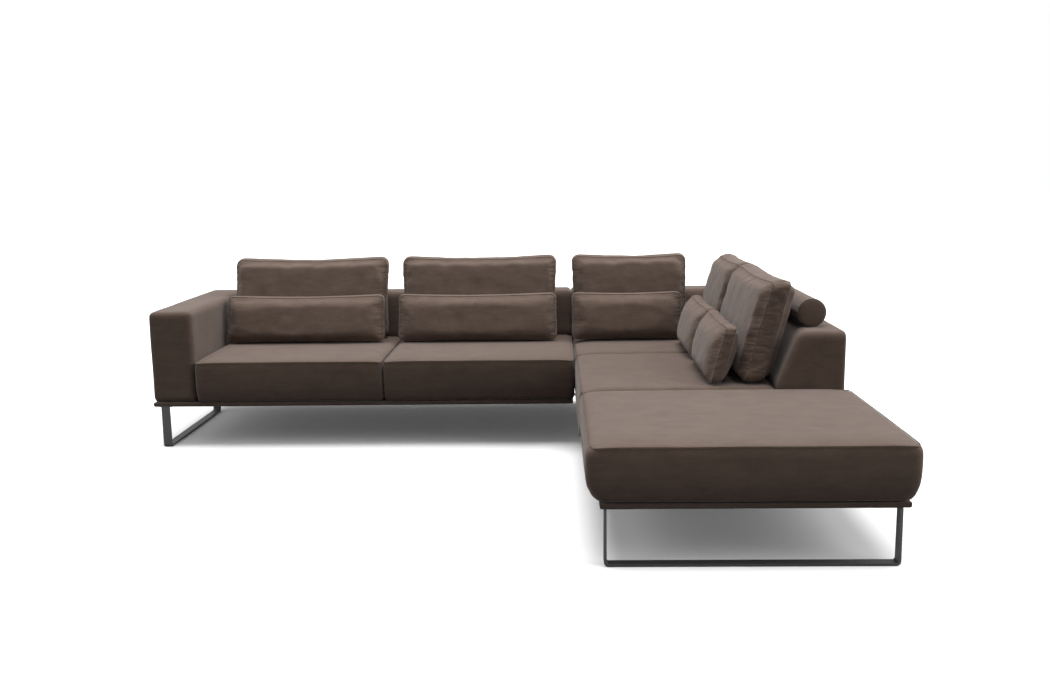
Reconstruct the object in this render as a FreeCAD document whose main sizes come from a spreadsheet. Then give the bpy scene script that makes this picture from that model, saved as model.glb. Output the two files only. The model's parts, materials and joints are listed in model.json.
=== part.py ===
"""Corner sofa: a left two-seater module with an arm, and a corner run that ends in a chaise.

The frame's origin is at the middle of the overall box on the floor.
+X runs to the right along the rear backs, +Y to the rear, +Z up. Lengths are in millimetres.
"""

import FreeCAD
import Part
import math
import os
import Sketcher

DRIVING_SIZES = [
    ("overall_width", 3170, "arm's outer face to the chaise's right side"),
    ("overall_length", 2690, "chaise's front to the rear of the low backs"),
    ("leg_height", 200, "floor to the underside of the base"),
    ("plinth_height", 20, "fabric-wrapped base rail"),
    ("plinth_width", 110, "base rail, seen from above"),
    ("plinth_edge", 9, "rounding of the base rails' outer corners"),
    ("shadow_gap", 5, "between the base rails and the upholstery"),
    ("seam_height", 421, "floor to the seam round a seat's top"),
    ("seat_height", 434, "floor to the crown of a seat"),
    ("overhang", 30, "chaise beyond the base, at its front and right"),
    ("side_overhang", 50, "corner run's seats beyond the base, at their left"),
    ("seat_corner", 42, "plan radius of a seat's free corners"),
    ("left_depth", 1018, "left module's base, front to rear"),
    ("left_front_overhang", 22, "left seats beyond the base at the front"),
    ("arm_width", 214, "left arm"),
    ("arm_height", 668, "floor to the top of the arm"),
    ("arm_overhang", 4, "arm beyond the base at the outer side"),
    ("arm_round", 28, "edges of the arm"),
    ("back_height", 661, "floor to the top of a low back"),
    ("back_top_thickness", 190, "low back at its top"),
    ("back_seat_thickness", 278, "low back at the seat"),
    ("back_foot_thickness", 262, "low back at the base"),
    ("back_round", 30, "top edges of the low backs"),
    ("back_end_round", 22, "ends of the low backs"),
    ("back_overhang", 8, "right low back beyond the base"),
    ("return_width", 1030, "base under the corner run"),
    ("module_gap", 10, "between the left module and the corner run"),
    ("chaise_length", 900, "chaise seat, with its front overhang"),
    ("middle_length", 880, "middle seat of the corner run"),
    ("seam_gap", 3, "between neighbouring upholstered pieces"),
    ("cover_wall", 24, "wadding and cover at a seat's foot"),
    ("cover_top", 26, "wadding and cover over a seat's foam"),
    ("padding", 40, "foam and cover round a back's or arm's frame"),
    ("rail_height", 34, "seat frame rails"),
    ("rail_width", 45, "seat frame rails"),
    ("bearer_width", 60, "bearers between the base rails"),
    ("bearer_height", 16, "bearers between the base rails"),
    ("strap_width", 60, "elastic webbing"),
    ("strap_thickness", 2, "elastic webbing"),
    ("straps_per_seat", 5, "webbing straps under one seat"),
    ("cloth_thickness", 1, "dust cover"),
    ("post_section", 44, "posts and rails inside the arm and backs"),
    ("fit_gap", 0.5, "clearance of hidden pieces"),
    ("bar_width", 40, "flat bar of the sled legs"),
    ("bar_thickness", 10, "flat bar of the sled legs"),
    ("bar_bend", 18, "outer radius of a bend in the bar"),
    ("front_leg_inset", 13, "front leg in from the base's left end"),
    ("front_leg_right_inset", 27, "front leg in from the base's right end"),
    ("left_leg_inset", 36, "left leg in from the base's outer side"),
    ("left_leg_span", 795, "left leg, front to rear"),
    ("plate_length", 96, "mounting plate along the leg"),
    ("plate_width", 64, "mounting plate across the leg"),
    ("plate_thickness", 4, "mounting plate"),
    ("screw_shank", 6, "screws of the plates and straps"),
    ("screw_head", 11, "screws of the plates and straps"),
    ("screw_head_height", 3, "screws of the plates and straps"),
    ("screw_length", 18, "screws, under the head"),
    ("screw_spacing", 60, "screw holes along a plate"),
    ("foot_inset", 95, "rear support feet in from the base's sides"),
    ("foot_width", 45, "support foot, a square post"),
    ("foot_stud", 10, "stud of a support foot"),
    ("foot_stud_length", 18, "stud of a support foot"),
    ("tie_length", 190, "flat tie between the modules"),
    ("tie_width", 45, "flat tie between the modules"),
    ("tie_thickness", 3, "flat tie between the modules"),
    ("tie_screw_inset", 30, "screws in from a tie's ends"),
    ("cushion_lean", 15, "lean of the back and lumbar cushions, degrees"),
    ("cushion_width", 828, "large back cushion"),
    ("corner_cushion_width", 612, "small back cushion"),
    ("cushion_rise", 440, "back cushion, along its lean"),
    ("cushion_thickness", 165, "back cushion at its crown"),
    ("cushion_corner", 28, "corners of a back cushion"),
    ("lumbar_width", 832, "large lumbar cushion"),
    ("corner_lumbar_width", 572, "small lumbar cushion"),
    ("lumbar_rise", 252, "lumbar cushion, along its lean"),
    ("lumbar_thickness", 128, "lumbar cushion at its crown"),
    ("lumbar_corner", 20, "corners of a lumbar cushion"),
    ("cushion_gap", 5, "between a loose cushion and what it leans on"),
    ("rest_gap", 0.4, "under a loose cushion"),
    ("first_cushion_offset", 20, "first cushion from the arm"),
    ("cushion_spacing", 83, "between the two left cushions"),
    ("corner_cushion_offset", 0, "corner cushion from its seat's side"),
    ("right_cushion_offset", 55, "front right cushion behind the low back's end"),
    ("right_cushion_spacing", 4, "between the two right cushions"),
    ("first_lumbar_offset", 20, "first lumbar cushion from the arm"),
    ("lumbar_spacing", 76, "between the two left lumbar cushions"),
    ("corner_lumbar_overlap", 4, "corner lumbar cushion past its seat's side"),
    ("right_lumbar_offset", 37, "front right lumbar cushion behind the end"),
    ("right_lumbar_spacing", 8, "between the two right lumbar cushions"),
    ("roll_diameter", 118, "bolster roll"),
    ("roll_length", 620, "bolster roll"),
    ("roll_edge", 7, "bevel of the roll's ends"),
    ("roll_outer_inset", 61, "roll in from the low back's outer face"),
    ("roll_end_offset", 118, "roll behind the low back's front end"),
]

doc = FreeCAD.newDocument("corner_sofa")
sheet = doc.addObject("Spreadsheet::Sheet", "Sizes")
for row, (alias, number, note) in enumerate(DRIVING_SIZES, start=1):
    sheet.set("A%d" % row, str(number))
    sheet.setAlias("A%d" % row, alias)
    sheet.set("B%d" % row, note)
doc.recompute()


class Size:
    """A length that knows its value now and the sheet formula that it follows."""

    def __init__(self, value, formula):
        self.value = float(value)
        self.formula = formula

    def __add__(self, other):
        return joined(self, "+", other, self.value + as_size(other).value)

    def __sub__(self, other):
        return joined(self, "-", other, self.value - as_size(other).value)

    def __mul__(self, other):
        return joined(self, "*", other, self.value * as_size(other).value)

    def __truediv__(self, other):
        return joined(self, "/", other, self.value / as_size(other).value)

    __radd__ = __add__
    __rmul__ = __mul__

    def __rsub__(self, other):
        return as_size(other) - self

    def __rtruediv__(self, other):
        return as_size(other) / self

    def __neg__(self):
        return self * -1

    def __lt__(self, other):
        return self.value < as_size(other).value


def as_size(number):
    if isinstance(number, Size):
        return number
    return Size(number, "(%r)" % float(number))


def joined(first, sign, second, value):
    return Size(value, "(%s %s %s)" % (as_size(first).formula, sign, as_size(second).formula))


def size(alias):
    return Size(sheet.get(alias), "Sizes." + alias)


def tangent(angle):
    return Size(math.tan(math.radians(angle.value)), "tan(%s)" % angle.formula)


def cosine(angle):
    return Size(math.cos(math.radians(angle.value)), "cos(%s)" % angle.formula)


def bind(thing, path, length):
    """Set a property from a size and let it follow the sheet."""
    thing.setExpression(path, as_size(length).formula)


def place(thing, x, y, z, rotation=None):
    point = FreeCAD.Vector(as_size(x).value, as_size(y).value, as_size(z).value)
    thing.Placement = FreeCAD.Placement(point, rotation or FreeCAD.Rotation())
    bind(thing, "Placement.Base.x", x)
    bind(thing, "Placement.Base.y", y)
    bind(thing, "Placement.Base.z", z)


# Turns that stand a piece drawn in the XY plane upright.
FACING_FRONT = FreeCAD.Rotation(FreeCAD.Vector(1, 0, 0), 90)
FACING_LEFT = FreeCAD.Rotation(FreeCAD.Vector(0, 0, 1), -90).multiply(FACING_FRONT)
FACING_RIGHT = FreeCAD.Rotation(FreeCAD.Vector(0, 0, 1), 90).multiply(FACING_FRONT)
FACING_REAR = FreeCAD.Rotation(FreeCAD.Vector(0, 0, 1), 180).multiply(FACING_FRONT)

nodes = {}


def keep(thing, label):
    """Name a finished sub-part, whose shape is one kept node."""
    thing.Label = label
    nodes[label] = thing
    return thing


# Places that several pieces share

left_side = -size("overall_width") / 2
right_side = size("overall_width") / 2
front_side = -size("overall_length") / 2
rear_side = size("overall_length") / 2
base_bottom = size("leg_height")
base_top = base_bottom + size("plinth_height")
pad_bottom = base_top + size("shadow_gap")
seat_top = size("seat_height")

return_right = right_side - size("overhang")
return_left = return_right - size("return_width")
return_front = front_side + size("overhang")
return_pad_left = return_left - size("side_overhang")
return_pad_right = return_right + size("overhang")
left_base_left = left_side + size("arm_overhang")
left_module_right = return_pad_left - size("module_gap")
left_front = rear_side - size("left_depth")
arm_inner = left_side + size("arm_width")
side_back_outer = return_right + size("back_overhang")
chaise_rear = front_side + size("chaise_length")
middle_rear = chaise_rear + size("middle_length")
rear_back_face = rear_side - size("back_seat_thickness")
side_back_face = side_back_outer - size("back_seat_thickness")
seat_rear = rear_back_face - size("seam_gap")


# Simple solids


def box(name, low, high):
    """A block between two corners."""
    block = doc.addObject("Part::Box", name)
    for side, start, end in zip(("Length", "Width", "Height"), low, high):
        bind(block, side, as_size(end) - start)
    place(block, low[0], low[1], low[2])
    return block


def rod(name, diameter, length, x, y, z):
    """An upright cylinder that stands on a point."""
    cylinder = doc.addObject("Part::Cylinder", name)
    bind(cylinder, "Radius", diameter / 2)
    bind(cylinder, "Height", length)
    place(cylinder, x, y, z)
    return cylinder


def group(name, members):
    """Separate solids that share one node."""
    held = doc.addObject("Part::Compound", name)
    held.Links = members
    return held


def cut(name, base, tools):
    """A solid less its holes and recesses."""
    less = doc.addObject("Part::Cut", name)
    less.Base = base
    less.Tool = group(name + "_tools", tools)
    return less


# Sketches on a body's own XY plane


def new_body(name):
    return doc.addObject("PartDesign::Body", name)


def new_sketch(body, name, level):
    sketch = body.newObject("Sketcher::SketchObject", name)
    origin = body.Origin.OriginFeatures
    sketch.AttachmentSupport = [next(p for p in origin if p.Role == "XY_Plane")]
    sketch.MapMode = "FlatFace"
    height = as_size(level)
    sketch.AttachmentOffset = FreeCAD.Placement(
        FreeCAD.Vector(0, 0, height.value), FreeCAD.Rotation()
    )
    bind(sketch, "AttachmentOffset.Base.z", height)
    return sketch


def pin_point(sketch, piece, end, x, y):
    """Fix one end of a line or arc at a place that follows the sheet."""
    for axis, distance in (("DistanceX", as_size(x)), ("DistanceY", as_size(y))):
        index = sketch.addConstraint(
            Sketcher.Constraint(axis, -1, 1, piece, end, distance.value)
        )
        bind(sketch, "Constraints[%d]" % index, distance)


def pin_radius(sketch, piece, radius):
    index = sketch.addConstraint(Sketcher.Constraint("Radius", piece, radius.value))
    bind(sketch, "Constraints[%d]" % index, radius)


def corner_arc(sketch, centre, radius, start, end):
    """A rounded corner: an anticlockwise arc from one point to another about a centre."""
    circle = Part.Circle(FreeCAD.Vector(*centre, 0), FreeCAD.Vector(0, 0, 1), radius.value)
    first = math.atan2(start[1] - centre[1], start[0] - centre[0])
    last = math.atan2(end[1] - centre[1], end[0] - centre[0])
    if last < first:
        last += 2 * math.pi
    index = sketch.addGeometry(Part.ArcOfCircle(circle, first, last))
    pin_radius(sketch, index, radius)
    return index


def straight(sketch, start, end):
    first = FreeCAD.Vector(start[0].value, start[1].value, 0)
    last = FreeCAD.Vector(end[0].value, end[1].value, 0)
    return sketch.addGeometry(Part.LineSegment(first, last))


def outline(sketch, low_x, high_x, low_y, high_y, corner):
    """A rectangle with round corners."""
    low_x, high_x, low_y, high_y = (as_size(v) for v in (low_x, high_x, low_y, high_y))
    inner_low_x = low_x + corner
    inner_high_x = high_x - corner
    inner_low_y = low_y + corner
    inner_high_y = high_y - corner
    # Each corner: where its arc starts, its centre and where it ends, anticlockwise.
    corners = [
        ((inner_high_x, low_y), (inner_high_x, inner_low_y), (high_x, inner_low_y)),
        ((high_x, inner_high_y), (inner_high_x, inner_high_y), (inner_high_x, high_y)),
        ((inner_low_x, high_y), (inner_low_x, inner_high_y), (low_x, inner_high_y)),
        ((low_x, inner_low_y), (inner_low_x, inner_low_y), (inner_low_x, low_y)),
    ]
    pieces = []
    for index, (start, centre, end) in enumerate(corners):
        before = corners[index - 1][2]
        pieces.append((straight(sketch, before, start), before))
        flat_start, flat_centre, flat_end = ([p[0].value, p[1].value] for p in (start, centre, end))
        arc = corner_arc(sketch, flat_centre, corner, flat_start, flat_end)
        pieces.append((arc, start))
    for index, (piece, start) in enumerate(pieces):
        before = pieces[index - 1][0]
        sketch.addConstraint(Sketcher.Constraint("Coincident", before, 2, piece, 1))
        pin_point(sketch, piece, 1, start[0], start[1])


def polygon(sketch, points):
    """A closed outline of straight sides."""
    count = len(points)
    places = [(as_size(x), as_size(y)) for x, y in points]
    for index in range(count):
        start = FreeCAD.Vector(places[index][0].value, places[index][1].value, 0)
        following = places[(index + 1) % count]
        end = FreeCAD.Vector(following[0].value, following[1].value, 0)
        sketch.addGeometry(Part.LineSegment(start, end))
    for index in range(count):
        sketch.addConstraint(
            Sketcher.Constraint("Coincident", index - 1 if index else count - 1, 2, index, 1)
        )
        pin_point(sketch, index, 1, places[index][0], places[index][1])


def pad(body, sketch, length, name):
    feature = body.newObject("PartDesign::Pad", name)
    feature.Profile = sketch
    bind(feature, "Length", length)
    return feature


def pocket_up(body, sketch, depth, name):
    """A recess cut from a body's underside upwards."""
    feature = body.newObject("PartDesign::Pocket", name)
    feature.Profile = sketch
    feature.Reversed = True
    bind(feature, "Length", depth)
    return feature


def loft(body, sketches, name):
    feature = body.newObject("PartDesign::AdditiveLoft", name)
    feature.Profile = sketches[0]
    feature.Sections = sketches[1:]
    feature.Ruled = True
    return feature


def round_edges(body, base, wanted, radius, name):
    """Round the edges of a feature that a test on each edge picks."""
    doc.recompute()
    picked = [
        "Edge%d" % (index + 1)
        for index, edge in enumerate(base.Shape.Edges)
        if wanted(edge)
    ]
    feature = body.newObject("PartDesign::Fillet", name)
    feature.Base = (base, picked)
    bind(feature, "Radius", radius)
    return feature


# Crowned pads: outlines stacked through a pad and lofted


def seat_profile(free_reach):
    """Heights of a seat's outlines, each with how far a free side stands out there.

    The sides swell from the base, draw in to the top seam and crown over the foam.
    """
    rise = size("seam_height") - pad_bottom
    crown = seat_top - size("seam_height")
    return [
        (pad_bottom, free_reach * 0.1),
        (pad_bottom + rise * 0.16, free_reach * 0.6),
        (pad_bottom + rise * 0.36, free_reach * 0.93),
        (pad_bottom + rise * 0.58, free_reach),
        (pad_bottom + rise * 0.84, free_reach * 0.88),
        (pad_bottom + rise, free_reach * 0.5),
        (pad_bottom + rise + crown * 0.55, free_reach * 0.5 - 44),
        (seat_top, free_reach * 0.5 - 104),
    ]


# How far a seat's side draws in beside a neighbour at each of those heights.
PRESSED_SIDE = [4, 1, 0, 0, 0, 5, 14, 30]


def seat_cover(label, sides, reaches, corner):
    """A seat's cover with its wadding, open below for the foam and the frame.

    sides are the base lines left, right, front and rear; a reach is how far a free side
    stands out past its line, and None is a side pressed flat against a neighbour.
    """
    body = new_body(label)
    profiles = [seat_profile(size("overhang") if r is None else r) for r in reaches]
    sketches = []
    for level, pressed in enumerate(PRESSED_SIDE):
        height = profiles[0][level][0]
        sketch = new_sketch(body, "%s_outline_%d" % (label, level), height)
        reach = [
            as_size(-pressed) if free is None else profile[level][1]
            for free, profile in zip(reaches, profiles)
        ]
        outline(
            sketch,
            sides[0] - reach[0],
            sides[1] + reach[1],
            sides[2] - reach[2],
            sides[3] + reach[3],
            corner,
        )
        sketches.append(sketch)
    loft(body, sketches, label + "_crown")
    doc.recompute()
    pocket = new_sketch(body, label + "_hollow_outline", pad_bottom)
    wall = size("cover_wall")
    polygon(
        pocket,
        [
            (sides[0] + wall, sides[2] + wall),
            (sides[1] - wall, sides[2] + wall),
            (sides[1] - wall, sides[3] - wall),
            (sides[0] + wall, sides[3] - wall),
        ],
    )
    pocket_up(body, pocket, seat_top - size("cover_top") - pad_bottom, label + "_hollow")
    return keep(body, label)


# Thickness shares of a cushion's outlines, each with how far its edge lies inside the seam line.
CUSHION_STACK = [(0.0, 96), (0.15, 18), (0.48, 0), (0.82, 20), (1.0, 104)]

# Where a cushion's corner turns, as shares of its radius: along one side and in from it.
CORNER_STEPS = [(1, 0), (0.5, 0.134), (0.134, 0.5), (0, 1)]


def cushion(label, width, rise, thickness, corner, spread, x, y, rotation):
    """A loose cushion, crowned to its front and rear.

    It stands on a level foot and leans back, so each outline starts lower along the lean than the
    one behind it. spread scales how far the crown's outlines step in. It is drawn about its rear
    foot line, with its width centred.
    """
    body = new_body(label)
    lean = size("cushion_lean")
    sketches = []
    for level, (share, step) in enumerate(CUSHION_STACK):
        depth = thickness * share
        drop = depth * tangent(lean)
        inset = spread * step
        sketch = new_sketch(body, "%s_outline_%d" % (label, level), depth)
        right = width / 2 - inset
        foot = inset - drop
        top = rise - inset - drop
        # Each corner is turned in three straight steps.
        turns = [(corner * far, corner * near) for far, near in CORNER_STEPS]
        points = [(right - far, foot + near) for far, near in turns]
        points += [(right - near, top - far) for far, near in turns]
        points += [(far - right, top - near) for far, near in turns]
        points += [(near - right, foot + far) for far, near in turns]
        polygon(sketch, points)
        sketches.append(sketch)
    loft(body, sketches, label + "_crown")
    tilt = FreeCAD.Rotation(FreeCAD.Vector(1, 0, 0), 90 - lean.value)
    place(body, x, y, seat_top + size("rest_gap"), rotation.multiply(tilt))
    return keep(body, label)


# Base rails


def rounded_rail(name, low, high, round_ends):
    """A base rail, its bottom and outer corners rounded under the wrapped fabric."""
    body = new_body(name)
    sketch = new_sketch(body, name + "_outline", low[2])
    polygon(
        sketch,
        [(low[0], low[1]), (high[0], low[1]), (high[0], high[1]), (low[0], high[1])],
    )
    solid = pad(body, sketch, high[2] - low[2], name + "_pad")
    bottom = low[2].value

    def wanted(edge):
        points = [v.Point for v in edge.Vertexes]
        on_floor = all(abs(p.z - bottom) < 0.01 for p in points)
        for axis, side in round_ends:
            if on_floor and all(abs(p[axis] - side.value) < 0.01 for p in points):
                return True
        return False

    round_edges(body, solid, wanted, size("plinth_edge"), name + "_rounding")
    return body


# The sled legs: one bent flat bar each, with a welded mounting plate on both posts.
# The front leg stands across the chaise; the left leg runs front to rear under the arm.
PLATE_FROM_END = 2
PLATE_FROM_FRONT = 6
plate_length = size("plate_length")
plate_width = size("plate_width")
plate_top = base_bottom + size("plate_thickness")
front_leg_left = return_left + size("front_leg_inset")
front_leg_right = return_right - size("front_leg_right_inset")
left_leg_left = left_base_left + size("left_leg_inset")
left_leg_rear = left_front + size("left_leg_span")
left_plate_left = left_leg_left - (plate_width - size("bar_width")) / 2
front_plate_front = return_front + PLATE_FROM_FRONT


def plate_box(low_x, low_y, along_x):
    """Corners of a mounting plate, seen from above."""
    long_x, long_y = (plate_length, plate_width) if along_x else (plate_width, plate_length)
    return low_x, low_y, low_x + long_x, low_y + long_y


front_plates = [
    plate_box(front_leg_left + PLATE_FROM_END, front_plate_front, True),
    plate_box(front_leg_right - PLATE_FROM_END - plate_length, front_plate_front, True),
]
left_plates = [
    plate_box(left_plate_left, left_front + PLATE_FROM_END, False),
    plate_box(left_plate_left, left_leg_rear - PLATE_FROM_END - plate_length, False),
]


def plate_screws(plate, along_x):
    """Places of a mounting plate's two screws."""
    centre_x = (plate[0] + plate[2]) / 2
    centre_y = (plate[1] + plate[3]) / 2
    half = size("screw_spacing") / 2
    if along_x:
        return [(centre_x - half, centre_y), (centre_x + half, centre_y)]
    return [(centre_x, centre_y - half), (centre_x, centre_y + half)]


front_screws = [point for plate in front_plates for point in plate_screws(plate, True)]
left_screws = [point for plate in left_plates for point in plate_screws(plate, False)]


def screw_holes(name, points, low, high, clearance):
    """Straight holes for a set of screws."""
    return [
        rod("%s_hole_%d" % (name, i), size("screw_shank") + clearance, high - low, x, y, low)
        for i, (x, y) in enumerate(points)
    ]


def sled_leg(label, span, plate_level, x, y, rotation, screws):
    """A flat bar bent to a U that stands on its runner, drawn along x with its height along y."""
    body = new_body(label + "_bar")
    bar = size("bar_thickness")
    height = base_bottom
    sketch = new_sketch(body, label + "_outline", 0)
    polygon(
        sketch,
        [
            (0, 0),
            (span, 0),
            (span, height),
            (span - bar, height),
            (span - bar, bar),
            (bar, bar),
            (bar, height),
            (0, height),
        ],
    )
    solid = pad(body, sketch, size("bar_width"), label + "_strip")

    def upright_at(low, ends):
        def wanted(edge):
            points = [v.Point for v in edge.Vertexes]
            flat = all(abs(p.y - low) < 0.01 for p in points)
            return flat and any(all(abs(p.x - e) < 0.01 for p in points) for e in ends)

        return wanted

    outer = size("bar_bend")
    inner = outer - bar
    ends = (0.0, span.value)
    inner_ends = (bar.value, (span - bar).value)
    bent = round_edges(body, solid, upright_at(0.0, ends), outer, label + "_outer_bend")
    round_edges(body, bent, upright_at(bar.value, inner_ends), inner, label + "_inner_bend")
    near = as_size(PLATE_FROM_END)
    for end, low in (("near", near), ("far", span - near - plate_length)):
        plate = new_sketch(body, "%s_%s_plate_outline" % (label, end), plate_level)
        high = low + plate_length
        polygon(plate, [(low, height), (high, height), (high, plate_top), (low, plate_top)])
        pad(body, plate, plate_width, "%s_%s_plate" % (label, end))
    place(body, x, y, 0, rotation)
    drill = screw_holes(label, screws, base_bottom - 1, plate_top + 1, 0.6)
    return keep(cut(label + "_drilled", body, drill), label)


front_leg_span = front_leg_right - front_leg_left
bar_rear = return_front + size("bar_width")
sled_leg(
    "front_sled_leg",
    front_leg_span,
    bar_rear - front_plate_front - plate_width,
    front_leg_left,
    bar_rear,
    FACING_FRONT,
    front_screws,
)
sled_leg(
    "left_sled_leg",
    size("left_leg_span"),
    left_plate_left - left_leg_left,
    left_leg_left,
    left_front,
    FACING_RIGHT,
    left_screws,
)


def screw(name, x, y, top):
    """A hexagon-head screw driven upwards; top is the face that its head bears on."""
    head_height = size("screw_head_height")
    head = doc.addObject("Part::Prism", name + "_head")
    head.Polygon = 6
    bind(head, "Circumradius", size("screw_head") / 2)
    bind(head, "Height", head_height)
    place(head, x, y, top - head_height)
    shank = rod(name + "_shank", size("screw_shank"), size("screw_length"), x, y, top)
    joined_screw = doc.addObject("Part::Fuse", name)
    joined_screw.Base = head
    joined_screw.Tool = shank
    return joined_screw


leg_screws = front_screws + left_screws
keep(
    group(
        "leg_screw_set",
        [screw("leg_screw_%d" % i, x, y, base_bottom) for i, (x, y) in enumerate(leg_screws)],
    ),
    "leg_screws",
)

# Flat ties that join the two modules underneath
tie_middle_x = (left_module_right + return_left) / 2
tie_half = size("tie_length") / 2
tie_bottom = base_bottom - size("tie_thickness")
tie_places = [left_front + 230, rear_side - size("plinth_width") / 2]
tie_screw_points = [
    (tie_middle_x + (tie_half - size("tie_screw_inset")) * side, y)
    for y in tie_places
    for side in (-1, 1)
]
for label, y, points in (
    ("front_module_tie", tie_places[0], tie_screw_points[:2]),
    ("rear_module_tie", tie_places[1], tie_screw_points[2:]),
):
    half_width = size("tie_width") / 2
    strip = box(
        label + "_strip",
        (tie_middle_x - tie_half, y - half_width, tie_bottom),
        (tie_middle_x + tie_half, y + half_width, base_bottom),
    )
    drill = screw_holes(label, points, tie_bottom - 1, base_bottom + 1, 0.6)
    keep(cut(label + "_drilled", strip, drill), label)
keep(
    group(
        "tie_screw_set",
        [screw("tie_screw_%d" % i, x, y, tie_bottom) for i, (x, y) in enumerate(tie_screw_points)],
    ),
    "tie_screws",
)

# Support feet out of sight at the rear and under the corner run
half_rail = size("plinth_width") / 2
middle_foot_y = middle_rear - size("middle_length") * 0.35
foot_places = {
    "support_foot_left_rear": (left_module_right - size("foot_inset"), rear_side - half_rail),
    "support_foot_corner_left": (return_left + size("foot_inset"), rear_side - half_rail),
    "support_foot_corner_right": (return_right - size("foot_inset"), rear_side - half_rail),
    "support_foot_middle_left": (return_left + half_rail, middle_foot_y),
    "support_foot_middle_right": (return_right - half_rail, middle_foot_y),
}


def support_foot(label, x, y):
    """A square post with a stud that screws into the base."""
    half = size("foot_width") / 2
    post = box(label + "_post", (x - half, y - half, 0), (x + half, y + half, base_bottom))
    stud = rod(label + "_stud", size("foot_stud"), size("foot_stud_length"), x, y, base_bottom)
    foot = doc.addObject("Part::Fuse", label + "_fused")
    foot.Base = post
    foot.Tool = stud
    return keep(foot, label)


for label, (x, y) in foot_places.items():
    support_foot(label, x, y)

# Base rails: four to a module, with recesses for the plates and holes for screws and studs
stud_holes = {
    label: rod(
        label + "_stud_hole",
        size("foot_stud") + 0.4,
        size("foot_stud_length") + 1,
        x,
        y,
        base_bottom,
    )
    for label, (x, y) in foot_places.items()
}


def plate_recess(name, plate):
    gap = size("fit_gap")
    low = (plate[0] - gap, plate[1] - gap, base_bottom - 1)
    high = (plate[2] + gap, plate[3] + gap, plate_top)
    return box(name, low, high)


def pilot_holes(name, points, bottom):
    return screw_holes(name, points, bottom, bottom + size("screw_length") + 1, 0.2)


rail_width = size("plinth_width")
left_inner_x = left_module_right
left_rail_tools = {
    "front": [plate_recess("left_front_recess", left_plates[0])]
    + pilot_holes("left_front_pilot", left_screws[:2], base_bottom),
    "rear": [stud_holes["support_foot_left_rear"]]
    + pilot_holes("left_rear_tie_pilot", tie_screw_points[2:3], tie_bottom),
    "outer": [plate_recess("left_rear_recess", left_plates[1])]
    + pilot_holes("left_rear_pilot", left_screws[2:], base_bottom),
    "inner": pilot_holes("left_tie_pilot", tie_screw_points[:1], tie_bottom),
}
return_rail_tools = {
    "front": [plate_recess("front_%d_recess" % i, p) for i, p in enumerate(front_plates)]
    + pilot_holes("front_pilot", front_screws, base_bottom),
    "rear": [stud_holes["support_foot_corner_left"], stud_holes["support_foot_corner_right"]]
    + pilot_holes("return_rear_tie_pilot", tie_screw_points[3:], tie_bottom),
    "left": [stud_holes["support_foot_middle_left"]]
    + pilot_holes("return_tie_pilot", tie_screw_points[1:2], tie_bottom),
    "right": [stud_holes["support_foot_middle_right"]],
}


def base_rail(label, low_x, high_x, low_y, high_y, rounded, tools):
    """One base rail; rounded lists the sides whose bottom edge shows."""
    low = (low_x, low_y, base_bottom)
    high = (high_x, high_y, base_top)
    body = rounded_rail(label + "_blank", low, high, rounded)
    return keep(cut(label + "_cut", body, tools) if tools else body, label)


def base_ring(module, names, left, right, front, rear, tools):
    """Front and rear rails run the full width; the side rails fit between them."""
    left_name, right_name = names
    inner_front = front + rail_width
    inner_rear = rear - rail_width
    base_rail(
        module + "_base_front",
        left,
        right,
        front,
        inner_front,
        [(0, left), (0, right), (1, front)],
        tools["front"],
    )
    base_rail(
        module + "_base_rear",
        left,
        right,
        inner_rear,
        rear,
        [(0, left), (0, right), (1, rear)],
        tools["rear"],
    )
    base_rail(
        "%s_base_%s" % (module, left_name),
        left,
        left + rail_width,
        inner_front,
        inner_rear,
        [(0, left)],
        tools[left_name],
    )
    base_rail(
        "%s_base_%s" % (module, right_name),
        right - rail_width,
        right,
        inner_front,
        inner_rear,
        [(0, right)],
        tools[right_name],
    )
    gap = size("fit_gap")
    cloth_bottom = base_bottom + 1
    cloth = box(
        module + "_cloth",
        (left + rail_width + gap, inner_front + gap, cloth_bottom),
        (right - rail_width - gap, inner_rear - gap, cloth_bottom + size("cloth_thickness")),
    )
    keep(cloth, module + "_dust_cover")


base_ring(
    "left",
    ("outer", "inner"),
    left_base_left,
    left_inner_x,
    left_front,
    rear_side,
    left_rail_tools,
)
base_ring(
    "return",
    ("left", "right"),
    return_left,
    return_right,
    return_front,
    rear_side,
    return_rail_tools,
)


def spread_places(low, high, count):
    """Even places between two lines, none on the lines themselves."""
    return [low + (high - low) * ((i + 1) / (count + 1)) for i in range(count)]


LEFT_BEARERS = 3
RETURN_BEARERS = 4
half_bearer = size("bearer_width") / 2
bearer_bottom = base_top - size("bearer_height")
left_bearers = [
    box(
        "left_bearer_%d" % i,
        (x - half_bearer, left_front + rail_width, bearer_bottom),
        (x + half_bearer, rear_side - rail_width, base_top),
    )
    for i, x in enumerate(
        spread_places(left_base_left + rail_width, left_inner_x - rail_width, LEFT_BEARERS)
    )
]
keep(group("left_bearer_set", left_bearers), "left_bearers")
return_bearers = [
    box(
        "return_bearer_%d" % i,
        (return_left + rail_width, y - half_bearer, bearer_bottom),
        (return_right - rail_width, y + half_bearer, base_top),
    )
    for i, y in enumerate(
        spread_places(return_front + rail_width, rear_side - rail_width, RETURN_BEARERS)
    )
]
keep(group("return_bearer_set", return_bearers), "return_bearers")

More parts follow.
